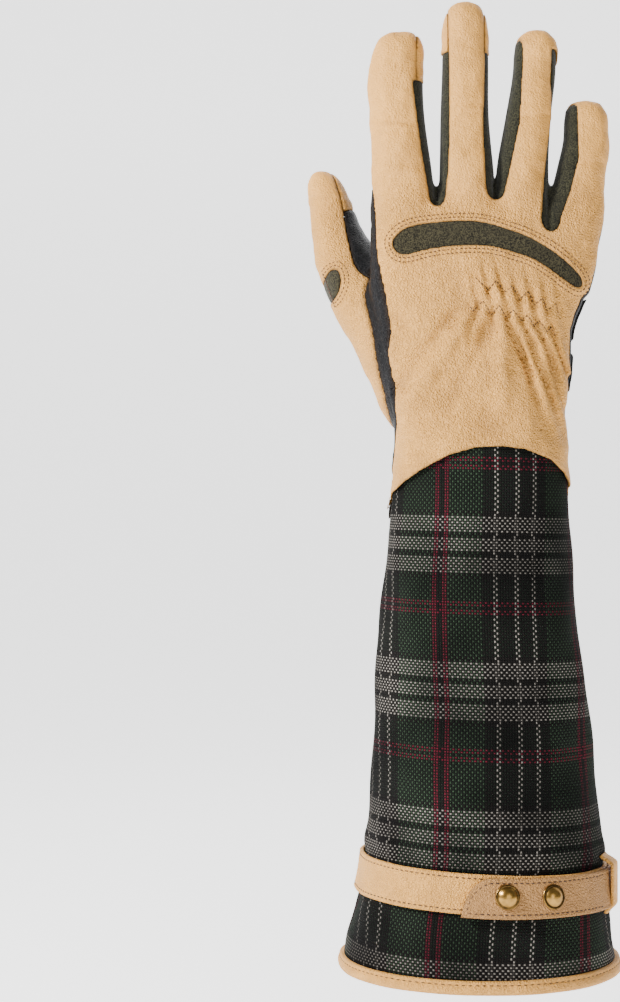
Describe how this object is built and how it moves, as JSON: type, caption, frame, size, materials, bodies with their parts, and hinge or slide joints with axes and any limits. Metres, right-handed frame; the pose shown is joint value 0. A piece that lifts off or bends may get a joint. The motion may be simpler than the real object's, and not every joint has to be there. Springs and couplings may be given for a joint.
{
  "type": "gardening glove",
  "caption": "Right-hand leather gardening glove with a long tartan cloth gauntlet, snapped strap and bound hem, filled as if worn.",
  "frame": {"origin": "centre of the arm opening, in the plane of the hem", "axes": "+Z from the arm opening to the fingertips, back of the hand towards -Y, thumb towards -X"},
  "size_m": [0.1249, 0.103, 0.3857],
  "materials": {
    "tan_leather": "fine grain, soft satin",
    "black_leather": "fine goatskin grain, soft sheen",
    "black_suede": "matt suede",
    "olive_suede": "matt suede",
    "green_suede": "matt suede",
    "tartan_cloth": "coarse plain weave, green, red and white check",
    "antique_brass": "antiqued, satin"
  },
  "bodies": {
    "root": {"back_panel": "tan_leather", "palm_panel": "black_leather", "knuckle_patch": "olive_suede", "index_cap": "tan_leather", "middle_cap": "tan_leather", "fourchette_index_middle": "green_suede", "fourchette_middle_ring": "green_suede", "fourchette_ring_little": "green_suede", "thumb_back": "tan_leather", "thumb_front": "black_leather", "thumb_cap": "tan_leather", "thumb_knuckle_patch": "olive_suede", "palm_patch": "black_suede", "cuff": "tartan_cloth", "hem_binding": "tan_leather", "strap": "tan_leather", "strap_tab": "tan_leather", "strap_loop": "tan_leather", "snap_left": "antique_brass", "snap_right": "antique_brass"}
  },
  "joints": []
}
